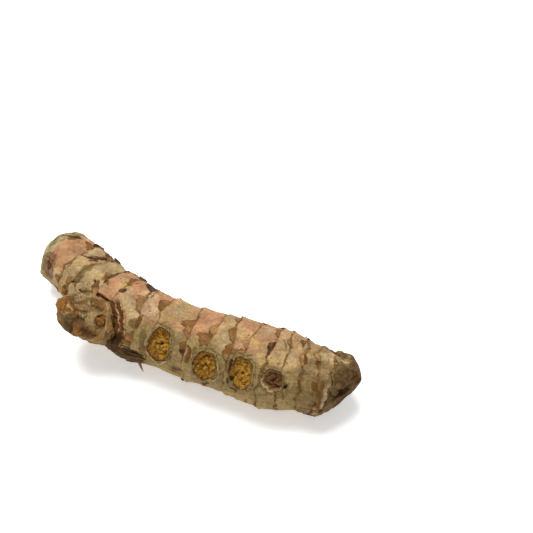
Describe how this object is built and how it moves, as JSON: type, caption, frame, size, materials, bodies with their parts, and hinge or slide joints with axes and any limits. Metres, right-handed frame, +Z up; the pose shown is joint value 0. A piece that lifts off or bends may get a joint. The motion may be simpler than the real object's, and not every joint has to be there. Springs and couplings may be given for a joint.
{
  "type": "turmeric root",
  "caption": "Fresh turmeric finger: a curved, knobbly rhizome with ragged ring-shaped leaf scars, round scars of broken side shoots, a stubby side knob and a broken end.",
  "frame": {"origin": "middle of the bounding box on the plane that the root lies on", "axes": "+X along the root from the rounded growing tip to the broken end, -Y to the side with the knob, +Z up"},
  "size_m": [0.1002, 0.0358, 0.0206],
  "materials": {
    "skin": "matt thin skin, pinkish tan to olive beige, with brown papery scale remains and rough orange flesh in the scars"
  },
  "bodies": {
    "root": {"turmeric_root": "skin"}
  },
  "joints": []
}
